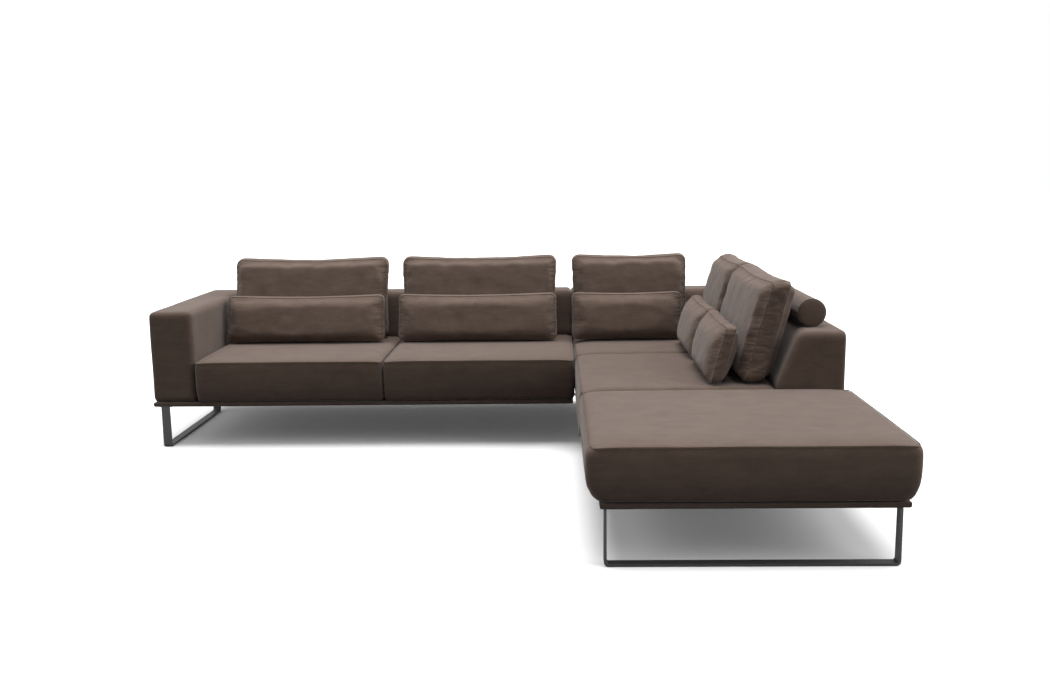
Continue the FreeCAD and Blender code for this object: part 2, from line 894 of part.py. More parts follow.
# Seats, each with a frame, webbing, a foam core and a crowned cover
half_seam = size("seam_gap") / 2
left_seats_start = arm_inner + size("seam_gap")
seat_split = (left_seats_start + left_module_right) / 2
side_seat_end = side_back_face - size("seam_gap")
front_reach = size("left_front_overhang")
free = size("overhang")
free_left = size("side_overhang")
SMALL_CORNER = 16
seats = {
    "left": (
        (left_seats_start, seat_split - half_seam, left_front, seat_rear),
        (None, None, front_reach, None),
        as_size(SMALL_CORNER),
    ),
    "centre": (
        (seat_split + half_seam, left_module_right, left_front, seat_rear),
        (None, None, front_reach, None),
        as_size(SMALL_CORNER),
    ),
    "corner": (
        (return_left, side_seat_end, middle_rear + half_seam, seat_rear),
        (free_left, None, None, None),
        as_size(SMALL_CORNER),
    ),
    "middle": (
        (return_left, side_seat_end, chaise_rear + half_seam, middle_rear - half_seam),
        (free_left, None, None, None),
        as_size(SMALL_CORNER),
    ),
    "chaise": (
        (return_left, return_right, return_front, chaise_rear - half_seam),
        (free_left, free, free, None),
        size("seat_corner"),
    ),
}
frame_top = base_top + size("rail_height")
strap_top = frame_top + size("strap_thickness")
hollow_top = seat_top - size("cover_top")
straps = {"left": [], "return": []}
for seat, (sides, reaches, corner) in seats.items():
    label = "%s_seat" % seat
    seat_cover(label + "_cover", sides, reaches, corner)
    inset = size("cover_wall") + size("fit_gap")
    left, right, front, rear = (
        sides[0] + inset,
        sides[1] - inset,
        sides[2] + inset,
        sides[3] - inset,
    )
    rail = size("rail_width")
    frame = [
        ((left, front), (right, front + rail)),
        ((left, rear - rail), (right, rear)),
        ((left, front + rail), (left + rail, rear - rail)),
        ((right - rail, front + rail), (right, rear - rail)),
    ]
    rails = [
        box(
            "%s_rail_%d" % (label, i),
            (low[0], low[1], base_top),
            (high[0], high[1], frame_top),
        )
        for i, (low, high) in enumerate(frame)
    ]
    keep(group(label + "_rails", rails), label + "_frame")
    foam = box(
        label + "_core",
        (left, front, strap_top),
        (right, rear, hollow_top - size("fit_gap")),
    )
    keep(foam, label + "_foam")
    count = int(size("straps_per_seat").value)
    half_strap = size("strap_width") / 2
    module = "left" if seat in ("left", "centre") else "return"
    for i, x in enumerate(spread_places(left, right, count)):
        strap = box(
            "%s_strap_%d" % (label, i),
            (x - half_strap, front, frame_top),
            (x + half_strap, rear, strap_top),
        )
        straps[module].append(strap)
for module, pieces in straps.items():
    keep(group(module + "_straps", pieces), module + "_webbing")


# Arm and low backs: an upholstered shell over a timber frame


def hollow(body, name, low_x, high_x, low_y, high_y, top):
    sketch = new_sketch(body, name + "_hollow_outline", pad_bottom)
    polygon(sketch, [(low_x, low_y), (high_x, low_y), (high_x, high_y), (low_x, high_y)])
    pocket_up(body, sketch, top - pad_bottom, name + "_hollow")


def timber_frame(name, low_x, high_x, low_y, high_y, top, along_x):
    """Posts between a bottom and a top rail, inside an upholstered shell."""
    gap = size("fit_gap")
    section = size("post_section")
    low_x, high_x, low_y, high_y = low_x + gap, high_x - gap, low_y + gap, high_y - gap
    high = top - gap
    pieces = [
        box(name + "_bottom_rail", (low_x, low_y, base_top), (high_x, high_y, base_top + section)),
        box(name + "_top_rail", (low_x, low_y, high - section), (high_x, high_y, high)),
    ]
    start, end = (low_x, high_x) if along_x else (low_y, high_y)
    for i, along in enumerate([start, (start + end) / 2 - section / 2, end - section]):
        low = (along, low_y, base_top + section) if along_x else (low_x, along, base_top + section)
        post_end = along + section
        far = (post_end, high_y, high - section) if along_x else (high_x, post_end, high - section)
        pieces.append(box("%s_post_%d" % (name, i), low, far))
    return group(name + "_pieces", pieces)


def arm():
    body = new_body("left_arm_shell")
    sketch = new_sketch(body, "arm_plan", pad_bottom)
    polygon(
        sketch,
        [
            (left_side, left_front),
            (arm_inner, left_front),
            (arm_inner, rear_side),
            (left_side, rear_side),
        ],
    )
    solid = pad(body, sketch, size("arm_height") - pad_bottom, "arm_block")

    def wanted(edge):
        points = [v.Point for v in edge.Vertexes]
        return any(p.z > pad_bottom.value + 1 for p in points)

    round_edges(body, solid, wanted, size("arm_round"), "arm_rounding")
    doc.recompute()
    wall = size("padding")
    limits = (left_side + wall, arm_inner - wall, left_front + wall, rear_side - wall)
    top = size("arm_height") - wall
    hollow(body, "arm", *limits, top)
    keep(body, "left_arm_cover")
    keep(timber_frame("arm_frame", *limits, top, False), "left_arm_frame")


arm()


def low_back_section(name, foot, grow, top):
    """A low back's section, with its outer face on the y axis and its height along y.

    x runs from the outer face towards the seat. grow adds a clearance on that side, for cutting
    a neighbour that fits against it.
    """
    body = new_body(name)
    sketch = new_sketch(body, name + "_section", 0)
    polygon(
        sketch,
        [
            (0, foot),
            (size("back_foot_thickness") + grow, foot),
            (size("back_seat_thickness") + grow, seat_top + 4),
            (size("back_top_thickness") + grow, size("back_height")),
            (size("back_top_thickness") + grow, top),
            (0, top),
        ]
        if grow.value
        else [
            (0, foot),
            (size("back_foot_thickness"), foot),
            (size("back_seat_thickness"), seat_top + 4),
            (size("back_top_thickness"), top),
            (0, top),
        ],
    )
    return body, sketch


def low_back(label, length, x, y, rotation, rounded_ends, hollow_end):
    """An upholstered low back, open below for its frame up to hollow_end."""
    top = size("back_height")
    body, sketch = low_back_section(label + "_shell", pad_bottom, as_size(0), top)
    solid = pad(body, sketch, length, label + "_block")
    foot = pad_bottom.value

    def top_edge(edge):
        points = [v.Point for v in edge.Vertexes]
        along = abs(points[0].z - points[-1].z) > 1
        return along and all(abs(p.y - top.value) < 0.01 for p in points)

    solid = round_edges(body, solid, top_edge, size("back_round"), label + "_top_rounding")
    ends = [0.0 if end == "start" else length.value for end in rounded_ends]

    def end_edge(edge):
        points = [v.Point for v in edge.Vertexes]
        at_end = any(all(abs(p.z - e) < 0.01 for p in points) for e in ends)
        return at_end and any(p.y > foot + 1 for p in points)

    round_edges(body, solid, end_edge, size("back_end_round"), label + "_end_rounding")
    doc.recompute()
    wall = size("padding")
    hollow_sketch = new_sketch(body, label + "_hollow_outline", wall)
    inner = size("back_top_thickness") - wall
    polygon(
        hollow_sketch,
        [
            (wall, pad_bottom - 1),
            (inner, pad_bottom - 1),
            (inner, top - wall),
            (wall, top - wall),
        ],
    )
    pocket_up(body, hollow_sketch, hollow_end - wall, label + "_hollow")
    place(body, x, y, 0, rotation)
    return body


wall = size("padding")
back_frame_top = size("back_height") - wall
rear_frame_front = rear_side - size("back_top_thickness") + wall
left_back_start = arm_inner + size("seam_gap")
left_back_length = left_module_right - left_back_start
left_back = low_back(
    "left_back",
    left_back_length,
    left_module_right,
    rear_side,
    FACING_LEFT,
    ("start", "end"),
    left_back_length - wall,
)
keep(left_back, "left_back_cover")
left_back_frame = timber_frame(
    "left_back_frame",
    left_back_start + wall,
    left_module_right - wall,
    rear_frame_front,
    rear_side - wall,
    back_frame_top,
    True,
)
keep(left_back_frame, "left_back_frame")

corner_back_length = side_back_outer - return_pad_left
corner_back = low_back(
    "corner_back",
    corner_back_length,
    side_back_outer,
    rear_side,
    FACING_LEFT,
    ("start", "end"),
    corner_back_length - wall,
)
keep(corner_back, "corner_back_cover")
corner_back_frame = timber_frame(
    "corner_back_frame",
    return_pad_left + wall,
    side_back_outer - wall,
    rear_frame_front,
    rear_side - wall,
    back_frame_top,
    True,
)
keep(corner_back_frame, "corner_back_frame")

# The right low back butts on the rear one, whose slope its end follows
side_back_front = chaise_rear + size("seam_gap")
side_back_length = rear_side - side_back_front - 2
side_frame_end = rear_back_face - size("seam_gap") - wall
side_back = low_back(
    "side_back",
    side_back_length,
    side_back_outer,
    side_back_front,
    FACING_REAR,
    ("start",),
    side_frame_end - side_back_front,
)
allowance, allowance_section = low_back_section(
    "corner_back_allowance",
    pad_bottom - 1,
    size("seam_gap"),
    size("back_height") + 1,
)
pad(allowance, allowance_section, size("back_seat_thickness") + 30, "corner_back_allowance_block")
place(allowance, side_back_outer + 10, rear_side, 0, FACING_LEFT)
keep(cut("side_back_fitted", side_back, [allowance]), "side_back_cover")
side_back_frame = timber_frame(
    "side_back_frame",
    side_back_outer - size("back_top_thickness") + wall,
    side_back_outer - wall,
    side_back_front + wall,
    side_frame_end,
    back_frame_top,
    False,
)
keep(side_back_frame, "side_back_frame")

# Loose cushions: large and small ones stand against the rear and right low backs
TO_REAR = FreeCAD.Rotation()
TO_RIGHT = FreeCAD.Rotation(FreeCAD.Vector(0, 0, 1), -90)
lean_stretch = 1 / cosine(size("cushion_lean"))
large = size("cushion_width")
small = size("corner_cushion_width")
rear_cushion_foot = rear_back_face - size("cushion_gap")
right_cushion_foot = side_back_face - size("cushion_gap")
first_start = arm_inner + size("first_cushion_offset")
second_start = first_start + large + size("cushion_spacing")
third_start = return_pad_left + size("corner_cushion_offset")
front_right_start = chaise_rear + size("right_cushion_offset")
rear_right_start = front_right_start + large + size("right_cushion_spacing")
BACK_SPREAD = 1
cushion_places = [
    ("back_cushion_left", large, first_start + large / 2, rear_cushion_foot, TO_REAR),
    ("back_cushion_centre", large, second_start + large / 2, rear_cushion_foot, TO_REAR),
    ("back_cushion_corner", small, third_start + small / 2, rear_cushion_foot, TO_REAR),
    ("back_cushion_right_rear", small, right_cushion_foot, rear_right_start + small / 2, TO_RIGHT),
    ("back_cushion_right_front", large, right_cushion_foot, front_right_start + large / 2, TO_RIGHT),
]
for label, width, x, y, turn in cushion_places:
    cushion(
        label,
        width,
        size("cushion_rise"),
        size("cushion_thickness"),
        size("cushion_corner"),
        BACK_SPREAD,
        x,
        y,
        turn,
    )

# Lumbar cushions stand in front of the back cushions
lumbar_large = size("lumbar_width")
lumbar_small = size("corner_lumbar_width")
cushion_depth = size("cushion_thickness") * lean_stretch
rear_lumbar_foot = rear_cushion_foot - cushion_depth - size("cushion_gap")
right_lumbar_foot = right_cushion_foot - cushion_depth - size("cushion_gap")
first_lumbar = arm_inner + size("first_lumbar_offset")
second_lumbar = first_lumbar + lumbar_large + size("lumbar_spacing")
third_lumbar = return_pad_left - size("corner_lumbar_overlap")
front_lumbar = chaise_rear + size("right_lumbar_offset")
rear_lumbar = front_lumbar + lumbar_small + size("right_lumbar_spacing")
LUMBAR_SPREAD = 0.66
half_large = lumbar_large / 2
half_small = lumbar_small / 2
lumbar_places = [
    ("lumbar_cushion_left", lumbar_large, first_lumbar + half_large, rear_lumbar_foot, TO_REAR),
    ("lumbar_cushion_centre", lumbar_large, second_lumbar + half_large, rear_lumbar_foot, TO_REAR),
    ("lumbar_cushion_corner", lumbar_small, third_lumbar + half_small, rear_lumbar_foot, TO_REAR),
    ("lumbar_cushion_right_rear", lumbar_small, right_lumbar_foot, rear_lumbar + half_small, TO_RIGHT),
    ("lumbar_cushion_right_front", lumbar_small, right_lumbar_foot, front_lumbar + half_small, TO_RIGHT),
]
for label, width, x, y, turn in lumbar_places:
    cushion(
        label,
        width,
        size("lumbar_rise"),
        size("lumbar_thickness"),
        size("lumbar_corner"),
        LUMBAR_SPREAD,
        x,
        y,
        turn,
    )

# Bolster roll on top of the right low back
roll = new_body("bolster_roll_body")
roll_circle = new_sketch(roll, "bolster_roll_outline", 0)
roll_radius = size("roll_diameter") / 2
circle = roll_circle.addGeometry(
    Part.Circle(FreeCAD.Vector(0, 0, 0), FreeCAD.Vector(0, 0, 1), roll_radius.value)
)
roll_circle.addConstraint(Sketcher.Constraint("Coincident", circle, 3, -1, 1))
pin_radius(roll_circle, circle, roll_radius)
roll_block = pad(roll, roll_circle, size("roll_length"), "bolster_roll_length")
doc.recompute()
rims = roll.newObject("PartDesign::Chamfer", "bolster_roll_rims")
roll_edges = roll_block.Shape.Edges
rims.Base = (roll_block, ["Edge%d" % (i + 1) for i, e in enumerate(roll_edges) if e.Closed])
bind(rims, "Size", size("roll_edge"))
place(
    roll,
    side_back_outer - size("roll_outer_inset") - roll_radius,
    chaise_rear + size("roll_end_offset"),
    size("back_height") + size("rest_gap") + roll_radius,
    FACING_REAR,
)
keep(roll, "bolster_roll")

# Check every object and every finished shape, then write one file per sub-part
doc.recompute()
faults = []
for thing in doc.Objects:
    if "Invalid" in thing.State or "Error" in thing.State:
        faults.append("%s did not compute: %s" % (thing.Name, thing.State))
for label, thing in nodes.items():
    shape = thing.Shape
    if shape.isNull() or not shape.isValid() or not shape.Solids:
        faults.append("%s has no valid solid" % label)
if faults:
    raise RuntimeError("; ".join(faults))
os.makedirs("parts", exist_ok=True)
for label, thing in nodes.items():
    thing.Shape.exportStep("parts/%s.step" % label)
print("%d sub-parts written" % len(nodes))
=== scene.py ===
"""Corner sofa in brown-taupe suede-look microfibre on flat-bar sled legs.

Lengths are in metres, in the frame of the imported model: +X right, +Y to the rear, +Z up.
"""

import json
import math

import bmesh
import bpy
from mathutils import Matrix, Vector, noise


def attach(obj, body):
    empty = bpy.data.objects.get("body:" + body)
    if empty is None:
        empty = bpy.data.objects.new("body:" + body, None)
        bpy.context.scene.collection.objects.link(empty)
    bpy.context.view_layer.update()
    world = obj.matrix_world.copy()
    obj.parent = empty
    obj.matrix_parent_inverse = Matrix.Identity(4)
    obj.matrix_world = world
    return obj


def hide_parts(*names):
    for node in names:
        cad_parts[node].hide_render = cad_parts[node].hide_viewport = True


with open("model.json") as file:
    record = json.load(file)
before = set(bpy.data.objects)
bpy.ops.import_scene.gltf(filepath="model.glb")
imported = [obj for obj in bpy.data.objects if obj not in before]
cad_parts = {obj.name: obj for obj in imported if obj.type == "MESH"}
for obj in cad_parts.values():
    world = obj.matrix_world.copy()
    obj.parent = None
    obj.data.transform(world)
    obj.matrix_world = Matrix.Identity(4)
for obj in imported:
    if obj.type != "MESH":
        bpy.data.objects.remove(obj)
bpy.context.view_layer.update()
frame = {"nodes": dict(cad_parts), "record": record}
scene = bpy.context.scene


# Finishes

# The real sizes of the patterns. The nap itself is finer than a pixel, so it is drawn 1.6 mm
# apart.
NAP = 0.0016
PATCH = 0.09
PUCKER = (0.06, 0.06, 0.013)
PEBBLE = 0.0012
WEAR = 0.12


def per(sizes):
    """The scale that draws a pattern at a size along each axis."""
    return tuple(1 / size for size in sizes)


def linear(hex_colour):
    """An sRGB hex colour as the linear colour that a shader takes."""
    channels = [int(hex_colour[i : i + 2], 16) / 255 for i in (1, 3, 5)]
    flat = [c / 12.92 if c <= 0.04045 else ((c + 0.055) / 1.055) ** 2.4 for c in channels]
    return (*flat, 1.0)


def add(material, kind, links=(), **settings):
    """Add a shader node. Settings name its properties or its inputs; links name inputs."""
    tree = material.node_tree
    node = tree.nodes.new(kind)
    for name, value in settings.items():
        if hasattr(node, name):
            setattr(node, name, value)
    for name, value in settings.items():
        if not hasattr(node, name):
            node.inputs[name.replace("_", " ")].default_value = value
    for name, source in dict(links).items():
        tree.links.new(source, node.inputs[name])
    return node


def finish(name):
    """An empty material with its shader and the coordinates that its patterns read."""
    material = bpy.data.materials.new(name)
    material.use_nodes = True
    shader = material.node_tree.nodes["Principled BSDF"]
    place = add(material, "ShaderNodeTexCoord")
    return material, shader, place.outputs["Object"]


def suede(name, dark, light, streak, gathered=False):
    """Woven-back microfibre, brushed to a short nap.

    The nap lies in patches, so the colour drifts over a few centimetres and in long faint
    streaks, and it catches light at grazing angles. It has next to no gloss. Where a cushion is
    gathered at its end seams, short level puckers run in from them.
    """
    material, shader, place = finish(name)
    patches = add(
        material,
        "ShaderNodeTexNoise",
        {"Vector": place},
        Scale=1 / PATCH,
        Detail=5.0,
        Roughness=0.62,
        Distortion=0.4,
    )
    stretched = add(material, "ShaderNodeMapping", {"Vector": place}, Scale=per(streak))
    strokes = add(
        material,
        "ShaderNodeTexNoise",
        {"Vector": stretched.outputs["Vector"]},
        Scale=1.0,
        Detail=4.0,
        Roughness=0.7,
    )
    nap = add(material, "ShaderNodeTexNoise", {"Vector": place}, Scale=1 / NAP, Detail=3.0)
    blend = add(
        material,
        "ShaderNodeMath",
        {0: patches.outputs["Fac"], 1: strokes.outputs["Fac"]},
        operation="ADD",
    )
    blend = add(
        material, "ShaderNodeMath", {0: blend.outputs[0], 1: nap.outputs["Fac"]}, operation="ADD"
    )
    level = add(
        material,
        "ShaderNodeMapRange",
        {"Value": blend.outputs[0]},
        From_Min=1.12,
        From_Max=1.88,
    )
    colour = add(
        material,
        "ShaderNodeMix",
        {"Factor": level.outputs["Result"]},
        data_type="RGBA",
    )
    colour.inputs[6].default_value = linear(dark)
    colour.inputs[7].default_value = linear(light)
    tree = material.node_tree
    tree.links.new(colour.outputs[2], shader.inputs["Base Color"])
    relief = add(
        material,
        "ShaderNodeBump",
        {"Height": nap.outputs["Fac"]},
        Strength=0.35,
        Distance=0.0006,
    )
    soft = add(
        material,
        "ShaderNodeBump",
        {"Height": patches.outputs["Fac"], "Normal": relief.outputs["Normal"]},
        Strength=0.25,
        Distance=0.006,
    )
    surface = soft
    if gathered:
        squeezed = add(material, "ShaderNodeMapping", {"Vector": place}, Scale=per(PUCKER))
        folds = add(
            material,
            "ShaderNodeTexNoise",
            {"Vector": squeezed.outputs["Vector"]},
            Scale=1.0,
            Detail=1.0,
            Distortion=0.5,
        )
        drawn = add(material, "ShaderNodeAttribute", attribute_name="gather")
        pucker = add(
            material,
            "ShaderNodeMath",
            {0: folds.outputs["Fac"], 1: drawn.outputs["Fac"]},
            operation="MULTIPLY",
        )
        surface = add(
            material,
            "ShaderNodeBump",
            {"Height": pucker.outputs[0], "Normal": soft.outputs["Normal"]},
            Strength=0.75,
            Distance=0.014,
        )
    tree.links.new(surface.outputs["Normal"], shader.inputs["Normal"])
    shader.inputs["Roughness"].default_value = 0.95
    shader.inputs["IOR"].default_value = 1.45
    shader.inputs["Specular IOR Level"].default_value = 0.2
    shader.inputs["Sheen Weight"].default_value = 0.16
    shader.inputs["Sheen Roughness"].default_value = 0.5
    return material


def powder_coat():
    """Polyester powder coat on steel, anthracite: matt, with a fine pebbled skin."""
    material, shader, place = finish("anthracite_powder_coat")
    pebble = add(
        material, "ShaderNodeTexNoise", {"Vector": place}, Scale=1 / PEBBLE, Detail=2.0
    )
    relief = add(
        material,
        "ShaderNodeBump",
        {"Height": pebble.outputs["Fac"]},
        Strength=0.4,
        Distance=0.0003,
    )
    worn = add(material, "ShaderNodeTexNoise", {"Vector": place}, Scale=1 / WEAR, Detail=4.0)
    tone = add(
        material, "ShaderNodeMix", {"Factor": worn.outputs["Fac"]}, data_type="RGBA"
    )
    tone.inputs[6].default_value = linear("#232223")
    tone.inputs[7].default_value = linear("#2c2a2b")
    material.node_tree.links.new(tone.outputs[2], shader.inputs["Base Color"])
    material.node_tree.links.new(relief.outputs["Normal"], shader.inputs["Normal"])
    shader.inputs["Roughness"].default_value = 0.52
    return material


def grained(name, dark, light, sizes, roughness, metallic=0.0):
    """A plain material whose colour drifts along a grain of a size along each axis."""
    material, shader, place = finish(name)
    stretched = add(material, "ShaderNodeMapping", {"Vector": place}, Scale=per(sizes))
    grain = add(
        material,
        "ShaderNodeTexNoise",
        {"Vector": stretched.outputs["Vector"]},
        Scale=1.0,
        Detail=6.0,
        Roughness=0.65,
    )
    tone = add(
        material, "ShaderNodeMix", {"Factor": grain.outputs["Fac"]}, data_type="RGBA"
    )
    tone.inputs[6].default_value = linear(dark)
    tone.inputs[7].default_value = linear(light)
    relief = add(
        material,
        "ShaderNodeBump",
        {"Height": grain.outputs["Fac"]},
        Strength=0.3,
        Distance=0.0004,
    )
    material.node_tree.links.new(tone.outputs[2], shader.inputs["Base Color"])
    material.node_tree.links.new(relief.outputs["Normal"], shader.inputs["Normal"])
    shader.inputs["Roughness"].default_value = roughness
    shader.inputs["Metallic"].default_value = metallic
    return material


microfibre = suede("taupe_suede_microfibre", "#4d3f37", "#5d4e44", (0.12, 0.02, 0.02))
# The loose cushions and the roll wear a lighter copy of the body's microfibre. The lighter tone
# is painted light, standing in for the light that they catch.
cushion_microfibre_painted_lighter = suede(
    "taupe_suede_microfibre_loose_painted_lighter", "#54453d", "#66574d", (0.09, 0.04, 0.03), gathered=True
)
base_wrap = suede("taupe_suede_base_wrap", "#4a3d36", "#5c4e45", (0.2, 0.03, 0.03))
steel_coat = powder_coat()
softwood = grained("planed_pine", "#a37c4f", "#c9a576", (0.3, 0.012, 0.012), 0.65)
foam = grained("upholstery_foam", "#d8cda4", "#e6dcb8", (0.004,) * 3, 0.95)
webbing = grained("elastic_webbing", "#7c7260", "#a89c84", (0.003, 0.06, 0.003), 0.85)
felt = grained("spunbond_cloth", "#131313", "#1f1f1f", (0.002,) * 3, 0.95)
zinc = grained("zinc_plated_steel", "#9a9a98", "#b9b9b6", (0.02,) * 3, 0.35, 1.0)
moulded = grained("black_polypropylene", "#151515", "#1c1c1c", (0.01,) * 3, 0.55)

node_finishes = {
    "upholstery_suede": microfibre,
    "cushion_suede": cushion_microfibre_painted_lighter,
    "wrapped_base": base_wrap,
    "dust_cloth": felt,
    "elastic_webbing": webbing,
    "foam_core": foam,
    "timber": softwood,
    "powder_coated_steel": steel_coat,
    "foot_plastic": moulded,
    "tie_steel": zinc,
    "screw_steel": zinc,
}
for entry in frame["record"]["subparts"]:
    shown = frame["nodes"][entry["node"]]
    shown.data.materials.clear()
    shown.data.materials.append(node_finishes[entry["material_slot"]])


# Making pieces

CLOSE = 1e-5
HAIR = 1e-4
TINY = 1e-6
LEFT, RIGHT, FRONT, REAR = range(4)


def piece(name, shape, material, body, node):
    """Turn a finished bmesh into a smooth piece that stands for a CAD node."""
    mesh = bpy.data.meshes.new(name)
    shape.to_mesh(mesh)
    shape.free()
    made = bpy.data.objects.new(name, mesh)
    scene.collection.objects.link(made)
    mesh.materials.append(material)
    mesh.shade_smooth()
    smoother = made.modifiers.new("Subdivision", "SUBSURF")
    smoother.levels = 1
    smoother.render_levels = 1
    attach(made, body)
    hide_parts(node)
    return made


def block(low, high, cell):
    """A box between two corners, divided into cells of about one size."""
    shape = bmesh.new()
    bmesh.ops.create_cube(shape, size=1)
    low, high = Vector(low), Vector(high)
    bmesh.ops.scale(shape, vec=high - low, verts=shape.verts)
    bmesh.ops.translate(shape, vec=(low + high) / 2, verts=shape.verts)
    for axis in range(3):
        cuts = max(1, round((high - low)[axis] / cell[axis])) - 1
        along = [
            e for e in shape.edges if abs((e.verts[0].co - e.verts[1].co)[axis]) > CLOSE
        ]
        if cuts:
            bmesh.ops.subdivide_edges(shape, edges=along, cuts=cuts, use_grid_fill=True)
    shape.verts.ensure_lookup_table()
    shape.verts.index_update()
    return shape


def loop_of(shape, wanted):
    """The numbers of a closed loop of vertices, in order round it."""
    here = min(wanted)
    path = [here]
    seen = {here}
    while True:
        beside = [e.other_vert(shape.verts[here]).index for e in shape.verts[here].link_edges]
        onward = [i for i in beside if i in wanted and i not in seen]
        if not onward:
            return path
        here = onward[0]
        seen.add(here)
        path.append(here)


def step(value, low, high):
    """A smooth rise from 0 to 1 between two values."""
    share = min(max((value - low) / (high - low), 0.0), 1.0)
    return share * share * (3 - 2 * share)


def drift(point, size, seed):
    """Smooth noise from -1 to 1 that changes over a length."""
    return noise.noise(Vector(point) / size + Vector((seed * 7.3, seed * 3.1, seed * 5.7)))


def between(pairs, value):
    """Read a smooth curve through pairs of numbers."""
    for (x0, y0), (x1, y1) in zip(pairs, pairs[1:]):
        if value <= x1:
            return y0 + (y1 - y0) * step(value, x0, x1)
    return pairs[-1][1]


def rounding(across, along):
    """What a point keeps of its way into a square corner when the corner is turned round."""
    if across > 0 and along > 0:
        return max(across, along) / math.hypot(across, along)
    return 1.0


def welt(name, points, radius, material, body):
    """A thin rolled seam along a closed loop of points."""
    line = bpy.data.curves.new(name, "CURVE")
    line.dimensions = "3D"
    line.bevel_depth = radius
    line.bevel_resolution = 2
    line.resolution_u = 2
    spline = line.splines.new("BEZIER")
    spline.bezier_points.add(len(points) - 1)
    for knot, point in zip(spline.bezier_points, points):
        knot.co = point
        knot.handle_left_type = "AUTO"
        knot.handle_right_type = "AUTO"
    spline.use_cyclic_u = True
    held = bpy.data.objects.new(name + "_line", line)
    scene.collection.objects.link(held)
    bpy.context.view_layer.update()
    graph = bpy.context.evaluated_depsgraph_get()
    mesh = bpy.data.meshes.new_from_object(held.evaluated_get(graph))
    bpy.data.objects.remove(held)
    made = bpy.data.objects.new(name, mesh)
    scene.collection.objects.link(made)
    mesh.materials.clear()
    mesh.materials.append(material)
    mesh.shade_smooth()
    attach(made, body)


# Seats: a boxed pad with swelling sides, a seam round its top and a low crown

PAD_FOOT = 0.225
SEAM = 0.421
SEAM_BAND = 0.4
CROWN = 0.0125
SEAT_CELL = (0.018, 0.018, 0.0141)
SEAT_WELT = 0.0019

# What a free side shows of its full reach, by height.
SWELL = [
    (0.225, 0.12),
    (0.240, 0.45),
    (0.262, 0.72),
    (0.290, 0.92),
    (0.325, 1.0),
    (0.370, 1.0),
    (0.395, 0.97),
    (0.411, 0.86),
    (0.421, 0.6),
]
FULL_UP_TO = 0.395
FRONT_SEAM_SHARE = 0.88
INNER_SHARE = 0.98
INNER_FADE = 0.43
# A pressed side rounds over this much at its top and foot, the foot up to a height.
PRESSED_TOP = 0.004
PRESSED_FOOT = 0.003
FOOT_ROUND = 0.25
# The crown rises within a length of each side, dips at the corners and has shallow hollows.
FREE_RISE = 0.045
PRESSED_RISE = 0.011
CORNER_DIP = 0.006
DIP_LENGTH = 0.035
HOLLOW = 0.0022
HOLLOW_SIZE = 0.16
RIPPLE = 0.0016
RIPPLE_SIZE = 0.11


def side_reach(side, reach, z, seam_share, inner):
    """How far one side of a pad stands out at a height."""
    if reach is None:
        at_top = PRESSED_TOP * step(z, FULL_UP_TO, SEAM)
        return -at_top - PRESSED_FOOT * step(-z, -FOOT_ROUND, -PAD_FOOT)
    swell = between(SWELL, z)
    if side == LEFT:
        fuller = INNER_SHARE * step(-z, -INNER_FADE, -FULL_UP_TO) if inner else 0
        return reach * max(swell, fuller, seam_share if z > SEAM_BAND else 0)
    if side == FRONT:
        return reach * max(swell, FRONT_SEAM_SHARE if z > SEAM_BAND else 0)
    return reach * swell


def crown_height(gaps, reaches, x, y, seed):
    """How high the top stands over the seam; it dips at the front corners."""
    rise = CROWN
    for reach, gap in zip(reaches, gaps):
        rise *= 1 - math.exp(-gap / (FREE_RISE if reach else PRESSED_RISE))
    for side in (LEFT, RIGHT):
        rise -= CORNER_DIP * math.exp(-math.hypot(gaps[side], gaps[FRONT]) / DIP_LENGTH)
    return rise - HOLLOW * (0.5 + 0.5 * drift((x, y, 0), HOLLOW_SIZE, seed))


def seat_pad(name, node, sides, reaches, corners, seam_share, seed):
    """A seat cover, filled.

    sides and reaches are given for left, right, front and rear. A reach is how far the side
    swells past the base, and None means that it is pressed against a neighbour. corners are
    the plan radii of the front left, front right, rear left and rear right. seam_share is
    what the seam keeps of the left reach.
    """
    left, right, front, rear = sides
    inner = reaches[LEFT] and not reaches[FRONT]
    shape = block((left, front, PAD_FOOT), (right, rear, SEAM), SEAT_CELL)
    rim = set()
    for vert in shape.verts:
        x, y, z = vert.co
        on_top = z > SEAM - HAIR
        gaps = [x - left, right - x, y - front, rear - y]
        edge = min(gaps)
        if on_top and edge < CLOSE:
            rim.add(vert.index)
        moved = [side_reach(i, reaches[i], z, seam_share, inner) for i in range(4)]
        low_x, high_x = left - moved[LEFT], right + moved[RIGHT]
        low_y, high_y = front - moved[FRONT], rear + moved[REAR]
        # The whole level stretches to its outline.
        u = (x - left) / (right - left)
        v = (y - front) / (rear - front)
        x = low_x * (1 - u) + high_x * u
        y = low_y * (1 - v) + high_y * v
        for radius, corner_x, corner_y, sx, sy in (
            (corners[0], low_x, low_y, 1, 1),
            (corners[1], high_x, low_y, -1, 1),
            (corners[2], low_x, high_y, 1, -1),
            (corners[3], high_x, high_y, -1, -1),
        ):
            middle_x, middle_y = corner_x + sx * radius, corner_y + sy * radius
            dx, dy = (middle_x - x) * sx, (middle_y - y) * sy
            if dx > 0 and dy > 0:
                x = middle_x - dx * sx * rounding(dx, dy)
                y = middle_y - dy * sy * rounding(dx, dy)
        if on_top:
            z += crown_height(gaps, reaches, x, y, seed)
        elif z > PAD_FOOT + HAIR:
            ripple = RIPPLE * drift((x, y, z * 1.4), RIPPLE_SIZE, seed + 2)
            if edge == gaps[FRONT] and reaches[FRONT]:
                y += ripple
            elif edge == gaps[LEFT] and reaches[LEFT]:
                x += ripple
            elif edge == gaps[RIGHT] and reaches[RIGHT]:
                x -= ripple
        vert.co = (x, y, z)
    seam_points = [shape.verts[i].co.copy() for i in loop_of(shape, rim)]
    made = piece(name, shape, microfibre, "sofa", node)
    welt(name + "_seam", seam_points, SEAT_WELT, microfibre, "sofa")


